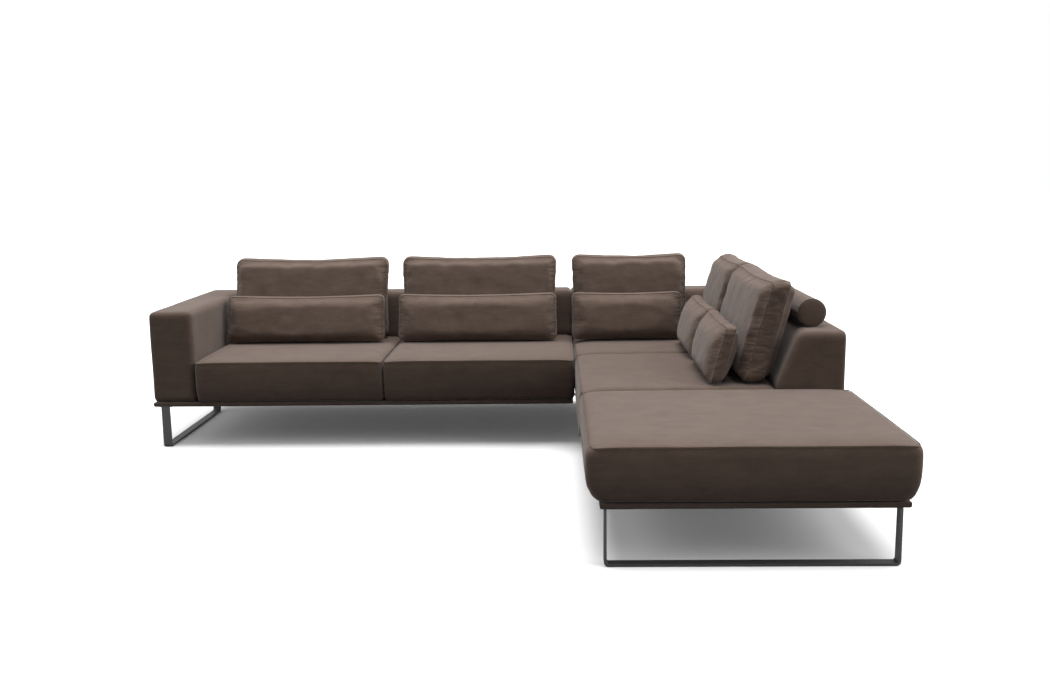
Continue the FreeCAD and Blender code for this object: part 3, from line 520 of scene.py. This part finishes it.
LEFT_PADS_FRONT = 0.327
PADS_REAR = 1.064
RUN_LEFT = 0.525
RUN_RIGHT = 1.282
CHAISE_FRONT = -1.315
CHAISE_RIGHT = 1.555
FRONT_REACH = 0.022
RUN_REACH = 0.050
CHAISE_REACH = 0.030

# Each row: piece, node, sides, reaches, corner radii, seam share and seed.
seats = [
    ("left_seat_pad", "left_seat_cover", (-1.368, -0.453, LEFT_PADS_FRONT, PADS_REAR),
     (None, None, FRONT_REACH, None), (0.026, 0.02, 0.012, 0.012), 0.5, 1),
    ("centre_seat_pad", "centre_seat_cover", (-0.450, 0.473, LEFT_PADS_FRONT, PADS_REAR),
     (None, None, FRONT_REACH, None), (0.02, 0.026, 0.012, 0.012), 0.5, 2),
    ("corner_seat_pad", "corner_seat_cover", (RUN_LEFT, RUN_RIGHT, 0.4365, PADS_REAR),
     (RUN_REACH, None, None, None), (0.022, 0.012, 0.022, 0.012), 0.76, 3),
    ("middle_seat_pad", "middle_seat_cover", (RUN_LEFT, RUN_RIGHT, -0.4435, 0.4335),
     (RUN_REACH, None, None, None), (0.022, 0.012, 0.022, 0.012), 0.76, 4),
    ("chaise_seat_pad", "chaise_seat_cover", (RUN_LEFT, CHAISE_RIGHT, CHAISE_FRONT, -0.4465),
     (RUN_REACH, CHAISE_REACH, CHAISE_REACH, None), (0.034, 0.034, 0.022, 0.022), 0.6, 5),
]
for seat in seats:
    seat_pad(*seat)


# Arm and low backs: tight covers over padded frames

LEFT_FACE = -1.585
REAR_FACE = 1.345
RIGHT_FACE = 1.563
ARM_TOP = 0.668
BACK_TOP = 0.661
ARM_CELL = (0.016, 0.016, 0.0155)
# The tight cover eases in and out by this much over this length.
EASE = 0.0018
EASE_SIZE = 0.19
EASE_INWARD = 0.7

# A low back's thickness at its heights: it swells to the seat and slopes in to its top.
THICKEST = 0.278
BACK_SECTION = [(PAD_FOOT, 0.262), (0.438, THICKEST), (BACK_TOP, 0.190)]


def soft_block(name, node, low, high, radii, shift, seed):
    """A block on a flat foot whose edges are rounded by a radius at each of its sides.

    radii are for left, right, front, rear, foot and top. shift moves a finished point, so
    that a back can lean.
    """
    shape = block(low, high, ARM_CELL)
    for vert in shape.verts:
        near = Vector()
        far = Vector()
        reach = Vector()
        for axis in range(3):
            start, end = radii[2 * axis], radii[2 * axis + 1]
            value = vert.co[axis]
            kept = min(max(value, low[axis] + start), high[axis] - end)
            size = start if value < kept else end
            near[axis] = kept
            far[axis] = value - kept
            reach[axis] = far[axis] / size
        outward = max(abs(share) for share in reach)
        if reach.length > TINY:
            far *= outward / reach.length
        if vert.co.z < low[2] + CLOSE:
            far.z = 0
        point = near + far
        ease = EASE * (drift(point, EASE_SIZE, seed) - EASE_INWARD)
        point += far.normalized() * ease if far.length > TINY else Vector()
        vert.co = shift(point)
    made = piece(name, shape, microfibre, "sofa", node)


def thickness(height):
    for (z0, t0), (z1, t1) in zip(BACK_SECTION, BACK_SECTION[1:]):
        if height <= z1:
            return t0 + (t1 - t0) * (height - z0) / (z1 - z0)
    return BACK_SECTION[-1][1]


def upright(point):
    return point


def from_rear(point):
    depth = (REAR_FACE - point.y) / THICKEST
    return Vector((point.x, REAR_FACE - depth * thickness(point.z), point.z))


def from_right(point):
    depth = (RIGHT_FACE - point.x) / THICKEST
    return Vector((RIGHT_FACE - depth * thickness(point.z), point.y, point.z))


# Each row: piece, node, lowest corner, highest corner, radii, shift and seed.
blocks = [
    ("left_arm_pad", "left_arm_cover", (LEFT_FACE, LEFT_PADS_FRONT, PAD_FOOT),
     (-1.371, REAR_FACE, ARM_TOP), (0.028, 0.03, 0.026, 0.026, 0.001, 0.026), upright, 11),
    ("left_back_pad", "left_back_cover", (-1.368, REAR_FACE - THICKEST, PAD_FOOT),
     (0.473, REAR_FACE, BACK_TOP), (0.024, 0.016, 0.04, 0.03, 0.001, 0.03), from_rear, 21),
    ("corner_back_pad", "corner_back_cover", (0.467, REAR_FACE - THICKEST, PAD_FOOT),
     (RIGHT_FACE, REAR_FACE, BACK_TOP), (0.016, 0.026, 0.04, 0.03, 0.001, 0.03), from_rear, 22),
    ("side_back_pad", "side_back_cover", (RIGHT_FACE - THICKEST, -0.442, PAD_FOOT),
     (RIGHT_FACE, 1.152, BACK_TOP), (0.055, 0.022, 0.026, 0.01, 0.001, 0.032), from_right, 23),
]
for row in blocks:
    soft_block(*row)


# Loose cushions: two panels and a gusset, sewn a little small, filled and leant back

CUSHION_CELL = 0.0105
CUT_SMALL = 0.012
CUT_FOOT = 0.004
GATHER_LENGTH = 0.03
# How the cover is cut: a share of the fullness, waves, a bellied gusset, a waist and a sag.
CUT_FULLNESS = 0.55
PANEL_WAVE = 0.003
PANEL_WAVE_SIZE = 0.07
GUSSET_BELLY = 0.004
WAIST = 0.004
TOP_SAG = 0.003
# How it is filled, and what is kept of the movement across, up and at most.
PRESSURE = 5.0
FILLING_FRAMES = 22
KEPT_ACROSS = 0.15
KEPT_UP = 0.12
FURTHEST = 0.03
# How it wrinkles: depth, size and how far in from the seam.
RUCHE, RUCHE_SIZE, RUCHE_LENGTH = 0.006, 0.026, 0.04
FOLD, FOLD_SIZE = 0.0045, 0.012
CREASE, CREASE_SIZE, CREASE_LENGTH = 0.0022, 0.035, 0.08
# How far its edges and corners are rounded, as shares of its thickness and as lengths.
SOFTENED = 0.075
CORNER_TURN = 0.24
TOP_ROUND = 0.034
SIDE_ROUND = 0.03
# A filled cushion is wider and higher than it was cut.
GROWN_ASIDE = 0.005
GROWN_UP = 0.006
PANEL_CLEARANCE = 0.002
FOOT_CLEARANCE = 0.0008
CUSHION_WELT = 0.0014
LEAN = math.radians(15)


def sewn_cover(width, rise, thick, gusset, seed):
    """The cover before it is filled, how far it is gathered, and its two seams.

    It stands upright about its foot: x across, y from its rear to its front, z up its lean.
    """
    side = width / 2 - CUT_SMALL
    top = rise - CUT_SMALL
    tall = top - CUT_FOOT
    half = gusset / 2
    shape = block(
        (-side, thick / 2 - half, CUT_FOOT), (side, thick / 2 + half, top), (CUSHION_CELL,) * 3
    )
    seams = {}
    for label, level in (("front", thick / 2 + half), ("rear", thick / 2 - half)):
        sewn = {
            v.index
            for v in shape.verts
            if abs(v.co.y - level) < CLOSE
            and (
                abs(abs(v.co.x) - side) < CLOSE
                or abs(v.co.z - CUT_FOOT) < CLOSE
                or abs(v.co.z - top) < CLOSE
            )
        }
        seams[label] = loop_of(shape, sewn)
    gather = {}
    for vert in shape.verts:
        x, y, z = vert.co
        u = x / side
        w = (z - CUT_FOOT) / tall * 2 - 1
        out = (1 - u**4) * (1 - w**4)
        side_gap = (1 - abs(u)) * side
        gather[vert.index] = math.exp(-side_gap / GATHER_LENGTH)
        if abs(y - thick / 2) > half - CLOSE:
            bulge = (thick - gusset) / 2 * CUT_FULLNESS
            vert.co.y += math.copysign(bulge * out, y - thick / 2)
            vert.co.y += PANEL_WAVE * drift((x, z, 0), PANEL_WAVE_SIZE, seed)
        else:
            vert.co.x += math.copysign(GUSSET_BELLY, x) * (1 - w**4) * (abs(u) > 0.999)
        vert.co.x -= math.copysign(WAIST, x) * (1 - w * w) * step(abs(u), 0.7, 1)
        vert.co.z -= TOP_SAG * (1 - u * u) * step(w, 0.5, 1)
    return shape, gather, seams


def fill(made, gather):
    """Blow a sewn cover up like a filled cushion, with its side seams drawn together."""
    before = [v.co.copy() for v in made.data.vertices]
    drawn = made.vertex_groups.new(name="gather")
    for index, weight in gather.items():
        drawn.add([index], weight, "REPLACE")
    cloth = made.modifiers.new("Cloth", "CLOTH")
    settings = cloth.settings
    settings.quality = 5
    settings.mass = 0.25
    settings.tension_stiffness = 12
    settings.compression_stiffness = 12
    settings.shear_stiffness = 6
    settings.bending_stiffness = 2.0
    settings.use_pressure = True
    settings.uniform_pressure_force = PRESSURE
    settings.effector_weights.gravity = 0
    settings.vertex_group_shrink = "gather"
    settings.shrink_min = -0.035
    settings.shrink_max = 0.06
    cloth.collision_settings.use_collision = False
    cloth.point_cache.frame_start = 1
    cloth.point_cache.frame_end = FILLING_FRAMES
    for frame_number in range(1, FILLING_FRAMES + 1):
        scene.frame_set(frame_number)
    bpy.context.view_layer.objects.active = made
    bpy.ops.object.modifier_apply(modifier=cloth.name)
    scene.frame_set(1)
    # The filling pushes the panels out; the sewn outline hardly draws in.
    for vert, old in zip(made.data.vertices, before):
        move = vert.co - old
        move.x *= KEPT_ACROSS
        move.z *= KEPT_UP
        if move.length > FURTHEST:
            move = move.normalized() * FURTHEST
        vert.co = old + move
    made.vertex_groups.clear()


def settled(point, width, rise, thick, gusset, slump, seed):
    """Where a point of the filled cover ends up: wrinkled, slumped and rounded over."""
    x, y, z = point
    soften = thick * SOFTENED
    turn = thick * CORNER_TURN
    half = gusset / 2
    side_gap = max(width / 2 - abs(x), 0)
    toward = 1 if y > thick / 2 else -1
    on_panel = step(abs(y - thick / 2), half * 0.8, half * 1.1)
    # The panels are ruched beside their end seams, and the gusset is folded there.
    ruche = drift((x * 0.25 + 3 * toward, y * 0.4, z), RUCHE_SIZE, seed)
    y += toward * on_panel * RUCHE * ruche * math.exp(-side_gap / RUCHE_LENGTH)
    end = step(abs(x) / (width / 2), 0.985, 1.0) * (1 - on_panel)
    fold = drift((0, y * 0.35, z), FOLD_SIZE, seed + 9)
    x -= math.copysign(1, x) * end * FOLD * (0.4 + fold)
    # Settling creases fan out from the lower corners.
    crease = drift((x * 0.8 + z * 0.9, 2, z * 0.8 - x * 0.5), CREASE_SIZE, seed + 13)
    y += toward * on_panel * CREASE * crease * math.exp(-min(side_gap, z) / CREASE_LENGTH)
    z -= slump * (1 - (x / (width / 2)) ** 2) * step(z / rise, 0.55, 1)
    # The filling rounds the panels over into the gusset.
    top_gap = max(rise - z, 0)
    from_seam = abs(abs(y - thick / 2) - half)
    over = math.exp(-((top_gap + from_seam) / TOP_ROUND) ** 2)
    aside = math.exp(-((side_gap + from_seam) / SIDE_ROUND) ** 2)
    under = math.exp(-((max(z, 0) + from_seam) / SIDE_ROUND) ** 2)
    z += soften * (0.8 * under - over)
    y -= toward * soften * max(over, aside, under) * 0.8
    x -= math.copysign(1, x) * soften * 0.6 * aside
    # The sewn corners are turned in a round.
    across_in = abs(x) - (width / 2 - turn)
    up_in = abs(z - rise / 2) - (rise / 2 - turn)
    keep = rounding(across_in, up_in)
    x += math.copysign(1, x) * across_in * (keep - 1)
    z += math.copysign(1, z - rise / 2) * up_in * (keep - 1)
    return x, y, z


def loose(node, width, centre, to_right, seed, rise, thick, gusset, slump):
    """Sew and fill a cushion, fit it to its place, wrinkle its ends and lean it back."""
    shape, gather, seams = sewn_cover(width, rise, thick, gusset, seed)
    mesh = bpy.data.meshes.new(node + "_filling")
    shape.to_mesh(mesh)
    shape.free()
    filled = bpy.data.objects.new(node + "_filling", mesh)
    scene.collection.objects.link(filled)
    fill(filled, gather)
    verts = filled.data.vertices
    low = [min(v.co[i] for v in verts) for i in range(3)]
    high = [max(v.co[i] for v in verts) for i in range(3)]
    fit_low = (-width / 2 - GROWN_ASIDE, PANEL_CLEARANCE, FOOT_CLEARANCE)
    fit_high = (width / 2 + GROWN_ASIDE, thick - PANEL_CLEARANCE, rise + GROWN_UP)
    for v in verts:
        fitted = [
            fit_low[i] + (v.co[i] - low[i]) / (high[i] - low[i]) * (fit_high[i] - fit_low[i])
            for i in range(3)
        ]
        v.co = settled(fitted, width, rise, thick, gusset, slump, seed)
    origin = Vector(centre)
    forward = Vector((-1, 0, 0)) if to_right else Vector((0, -1, 0))
    across = Vector((0, -1, 0)) if to_right else Vector((1, 0, 0))
    up_lean = -forward * math.sin(LEAN) + Vector((0, 0, math.cos(LEAN)))
    for v in verts:
        x, y, z = v.co
        z = max(z, FOOT_CLEARANCE)
        v.co = origin + across * x + forward * (y / math.cos(LEAN)) + up_lean * z
    shape = bmesh.new()
    shape.from_mesh(filled.data)
    bpy.data.objects.remove(filled)
    shape.verts.ensure_lookup_table()
    seam_points = {
        label: [shape.verts[i].co.copy() for i in loop] for label, loop in seams.items()
    }
    name = node + "_filled"
    made = piece(name, shape, cushion_microfibre_painted_lighter, node, node)
    puckered = made.data.attributes.new("gather", "FLOAT", "POINT")
    for vert in made.data.vertices:
        end = max(width / 2 - abs((vert.co - origin).dot(across)), 0)
        beside_seam = 0.35 + 0.65 * step(end, 0.004, 0.018)
        puckered.data[vert.index].value = math.exp(-end / GATHER_LENGTH) * beside_seam
    for label, points in seam_points.items():
        seam_name = "%s_%s_seam" % (name, label)
        welt(seam_name, points, CUSHION_WELT, cushion_microfibre_painted_lighter, node)


BACK = dict(rise=0.44, thick=0.165, gusset=0.112, slump=0.004)
LUMBAR = dict(rise=0.252, thick=0.128, gusset=0.072, slump=0.003)
REAR_FOOT = 1.062
RIGHT_FOOT = 1.280
REST = 0.4344
LUMBAR_GAP = 0.005
lumbar_rear = REAR_FOOT - BACK["thick"] / math.cos(LEAN) - LUMBAR_GAP
lumbar_right = RIGHT_FOOT - BACK["thick"] / math.cos(LEAN) - LUMBAR_GAP

# Each row: node, width, middle of its foot, whether it leans on the right back, kind, seed.
for node, width, centre, to_right, kind, seed in (
    ("back_cushion_left", 0.828, (-0.937, REAR_FOOT, REST), False, BACK, 31),
    ("back_cushion_centre", 0.828, (-0.026, REAR_FOOT, REST), False, BACK, 32),
    ("back_cushion_corner", 0.612, (0.781, REAR_FOOT, REST), False, BACK, 33),
    ("back_cushion_right_rear", 0.612, (RIGHT_FOOT, 0.7495, REST), True, BACK, 34),
    ("back_cushion_right_front", 0.828, (RIGHT_FOOT, 0.0225, REST), True, BACK, 35),
    ("lumbar_cushion_left", 0.832, (-0.935, lumbar_rear, REST), False, LUMBAR, 41),
    ("lumbar_cushion_centre", 0.832, (-0.027, lumbar_rear, REST), False, LUMBAR, 42),
    ("lumbar_cushion_corner", 0.572, (0.757, lumbar_rear, REST), False, LUMBAR, 43),
    ("lumbar_cushion_right_rear", 0.572, (lumbar_right, 0.458, REST), True, LUMBAR, 44),
    ("lumbar_cushion_right_front", 0.572, (lumbar_right, -0.122, REST), True, LUMBAR, 45),
):
    loose(node, width, centre, to_right, seed, **kind)


# Bolster roll

ROLL_X = 1.443
ROLL_Y = -0.017
ROLL_Z = 0.7204
ROLL_RADIUS = 0.0585
ROLL_LENGTH = 0.618
ROLL_NEAR_END = -0.327
ROLL_FAR_END = 0.293
ROLL_SEAM_RADIUS = 0.0572
ROLL_SEAMS = {"near": -0.3225, "far": 0.2885}
ROLL_WELT = 0.002
ROLL_EDGE = 0.009
# Gathers run in from the ends, seventeen round the roll, over gentle lumps; the ends dome.
ROLL_GATHER, ROLL_GATHER_LENGTH, ROLL_GATHERS = 0.0016, 0.05, 17
ROLL_LUMP, ROLL_LUMP_SIZE = 0.0012, 0.08
ROLL_DOME = 0.004
END_BAND = 0.008


def roll():
    """A stuffed roll along Y with domed ends, a seam near each end and faint gathers."""
    shape = bmesh.new()
    bmesh.ops.create_cone(
        shape,
        cap_ends=True,
        segments=72,
        radius1=ROLL_RADIUS,
        radius2=ROLL_RADIUS,
        depth=ROLL_LENGTH,
    )
    rims = [e for e in shape.edges if abs(e.verts[0].co.z - e.verts[1].co.z) < TINY]
    bmesh.ops.bevel(
        shape, geom=rims, offset=ROLL_EDGE, segments=4, profile=0.5, affect="EDGES", material=-1
    )
    lengths = [e for e in shape.edges if abs(e.verts[0].co.z - e.verts[1].co.z) > 0.4]
    bmesh.ops.subdivide_edges(shape, edges=lengths, cuts=52, use_grid_fill=True)
    caps = [f for f in shape.faces if len(f.verts) > 8]
    for inset in (0.012, 0.014, 0.014):
        bmesh.ops.inset_region(shape, faces=caps, thickness=inset, depth=0.0)
    turn = Matrix.Rotation(math.pi / 2, 4, "X")
    bmesh.ops.transform(shape, matrix=turn, verts=shape.verts)
    bmesh.ops.translate(shape, vec=(ROLL_X, ROLL_Y, ROLL_Z), verts=shape.verts)
    for vert in shape.verts:
        out = Vector((vert.co.x - ROLL_X, 0, vert.co.z - ROLL_Z))
        end = min(vert.co.y - ROLL_NEAR_END, ROLL_FAR_END - vert.co.y)
        if end > END_BAND:
            gather = ROLL_GATHER * math.exp(-end / ROLL_GATHER_LENGTH)
            angle = math.atan2(out.z, out.x)
            vert.co += out.normalized() * (
                gather * math.sin(angle * ROLL_GATHERS + 2 * drift(vert.co, 0.05, 3))
                + ROLL_LUMP * drift(vert.co, ROLL_LUMP_SIZE, 51)
            )
        else:
            dome = math.copysign(ROLL_DOME, vert.co.y)
            vert.co.y += dome * (1 - (out.length / ROLL_RADIUS) ** 2)
    node, slot = "bolster_roll", "cushion_suede"
    made = piece(node + "_filled", shape, cushion_microfibre_painted_lighter, node, node)
    turns = [2 * math.pi * i / 40 for i in range(40)]
    for label, y in ROLL_SEAMS.items():
        ring = [
            Vector((ROLL_X, y, ROLL_Z))
            + ROLL_SEAM_RADIUS * Vector((math.cos(a), 0, math.sin(a)))
            for a in turns
        ]
        welt("bolster_roll_%s_seam" % label, ring, ROLL_WELT, cushion_microfibre_painted_lighter, node)


roll()


# Floor, light and camera


def looked_at(holder):
    """1 where the camera, a gloss or a glass looks at the material or the world, else 0."""
    rays = add(holder, "ShaderNodeLightPath")
    seen = add(
        holder,
        "ShaderNodeMath",
        {0: rays.outputs["Is Camera Ray"], 1: rays.outputs["Is Glossy Ray"]},
        operation="MAXIMUM",
    )
    seen = add(
        holder,
        "ShaderNodeMath",
        {0: seen.outputs[0], 1: rays.outputs["Is Transmission Ray"]},
        operation="MAXIMUM",
    )
    return seen.outputs[0]


def studio_floor():
    """Pale paper: white where it is seen, dark to the light, so that nothing bounces up. Where
    it is seen it also glows faintly, a painted light that lifts the shadow under the sofa.
    """
    shape = bmesh.new()
    bmesh.ops.create_grid(shape, x_segments=1, y_segments=1, size=40)
    mesh = bpy.data.meshes.new("studio_floor")
    shape.to_mesh(mesh)
    shape.free()
    floor = bpy.data.objects.new("studio_floor", mesh)
    scene.collection.objects.link(floor)
    paper = bpy.data.materials.new("studio_paper")
    paper.use_nodes = True
    shader = paper.node_tree.nodes["Principled BSDF"]
    seen = looked_at(paper)
    tone = add(paper, "ShaderNodeMix", {"Factor": seen}, data_type="RGBA")
    tone.inputs[6].default_value = (0.035, 0.035, 0.035, 1)
    tone.inputs[7].default_value = (0.95, 0.95, 0.95, 1)
    # Seen by the camera the paper glows faintly: painted light that lifts its shadow.
    shadow_lifting_glow = add(paper, "ShaderNodeMath", {0: seen}, operation="MULTIPLY")
    shadow_lifting_glow.inputs[1].default_value = 0.05
    paper.node_tree.links.new(shadow_lifting_glow.outputs[0], shader.inputs["Emission Strength"])
    paper.node_tree.links.new(tone.outputs[2], shader.inputs["Base Color"])
    shader.inputs["Emission Color"].default_value = (1, 1, 1, 1)
    shader.inputs["Roughness"].default_value = 1.0
    shader.inputs["Specular IOR Level"].default_value = 0.0
    mesh.materials.append(paper)


def studio_world():
    """A dim white sky that is plain white where it is seen."""
    world = bpy.data.worlds.new("studio")
    scene.world = world
    world.use_nodes = True
    sky = world.node_tree.nodes["Background"]
    strength = add(
        world, "ShaderNodeMapRange", {"Value": looked_at(world)}, To_Min=0.27, To_Max=1.0
    )
    world.node_tree.links.new(strength.outputs["Result"], sky.inputs["Strength"])
    sky.inputs["Color"].default_value = (1, 1, 1, 1)


def soft_sun(name, tilt, turn, energy, spread):
    """A broad sun; tilt, turn and spread are in degrees."""
    lamp = bpy.data.lights.new(name, "SUN")
    lamp.energy = energy
    lamp.angle = math.radians(spread)
    held = bpy.data.objects.new(name, lamp)
    held.rotation_euler = (math.radians(tilt), 0, math.radians(turn))
    scene.collection.objects.link(held)


studio_floor()
studio_world()

# The main light comes from above and a little behind; two weaker ones from the sides.
soft_sun("overhead_bank", -6, 0, 4.1, 48)
soft_sun("left_bank", 66, -84, 0.85, 60)
soft_sun("right_bank", 62, 84, 2.2, 60)
scene.view_settings.view_transform = "Standard"

# The camera as it was fitted to the photograph: place, pan, tilt down and roll in radians.
CAMERA_PLACE = (0.384, -4.7785, 1.3264)
PAN = 0.029
TILT_DOWN = 0.1668
ROLLED = -0.0143

lens = bpy.data.cameras.new("camera")
lens.sensor_width = 36.0
lens.lens = 37.03
camera = bpy.data.objects.new("camera", lens)
scene.collection.objects.link(camera)
turned = (
    Matrix.Rotation(PAN, 4, "Z")
    @ Matrix.Rotation(math.pi / 2 - TILT_DOWN, 4, "X")
    @ Matrix.Rotation(ROLLED, 4, "Z")
)
camera.matrix_world = Matrix.Translation(CAMERA_PLACE) @ turned
scene.camera = camera
